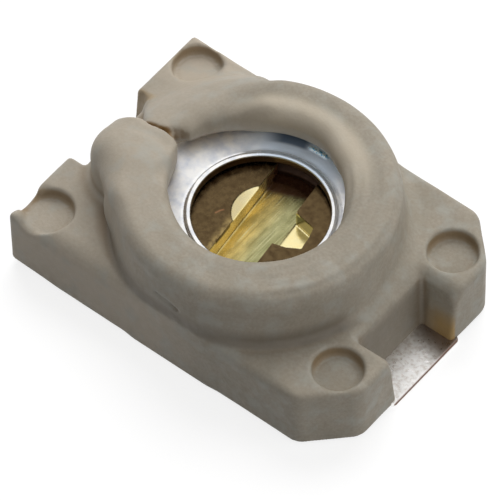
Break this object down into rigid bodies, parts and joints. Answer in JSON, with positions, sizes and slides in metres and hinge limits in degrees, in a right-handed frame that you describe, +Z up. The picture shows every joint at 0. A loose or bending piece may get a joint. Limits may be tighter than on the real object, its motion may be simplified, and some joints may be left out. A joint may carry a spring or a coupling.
{
  "type": "ceramic trimmer capacitor",
  "caption": "Surface-mount ceramic trimmer capacitor: moulded case with a staked ring, metal cap, slotted turning rotor and end terminals.",
  "frame": {"origin": "on the solder plane under the rotor's axis, at the middle of the case's length and width", "axes": "+X towards the stator terminal, +Y across the case, +Z up from the board along the rotor's axis"},
  "size_m": [0.0046, 0.0032, 0.0016],
  "materials": {
    "case_resin": "matt moulded resin, warm grey, faintly mottled",
    "tinned_sheet": "matt tin plating with a fine grain",
    "tinned_cap": "bright tin plating",
    "spring_bronze": "satin phosphor bronze",
    "rotor_brass": "milled brass",
    "ceramic": "ground unglazed ceramic",
    "silver_film": "fired silver film"
  },
  "bodies": {
    "base": {"case": "case_resin", "stator_terminal": "tinned_sheet", "rotor_terminal": "tinned_cap", "spring_washer": "spring_bronze"},
    "turning_rotor": {"rotor": "rotor_brass", "ceramic_disc": "ceramic", "rotor_electrode": "silver_film"}
  },
  "joints": [
    {"name": "rotor_turn", "type": "hinge", "parent": "base", "child": "turning_rotor", "pos_m": [0, 0, 0.0006], "axis": [0, 0, 1], "continuous": true}
  ]
}
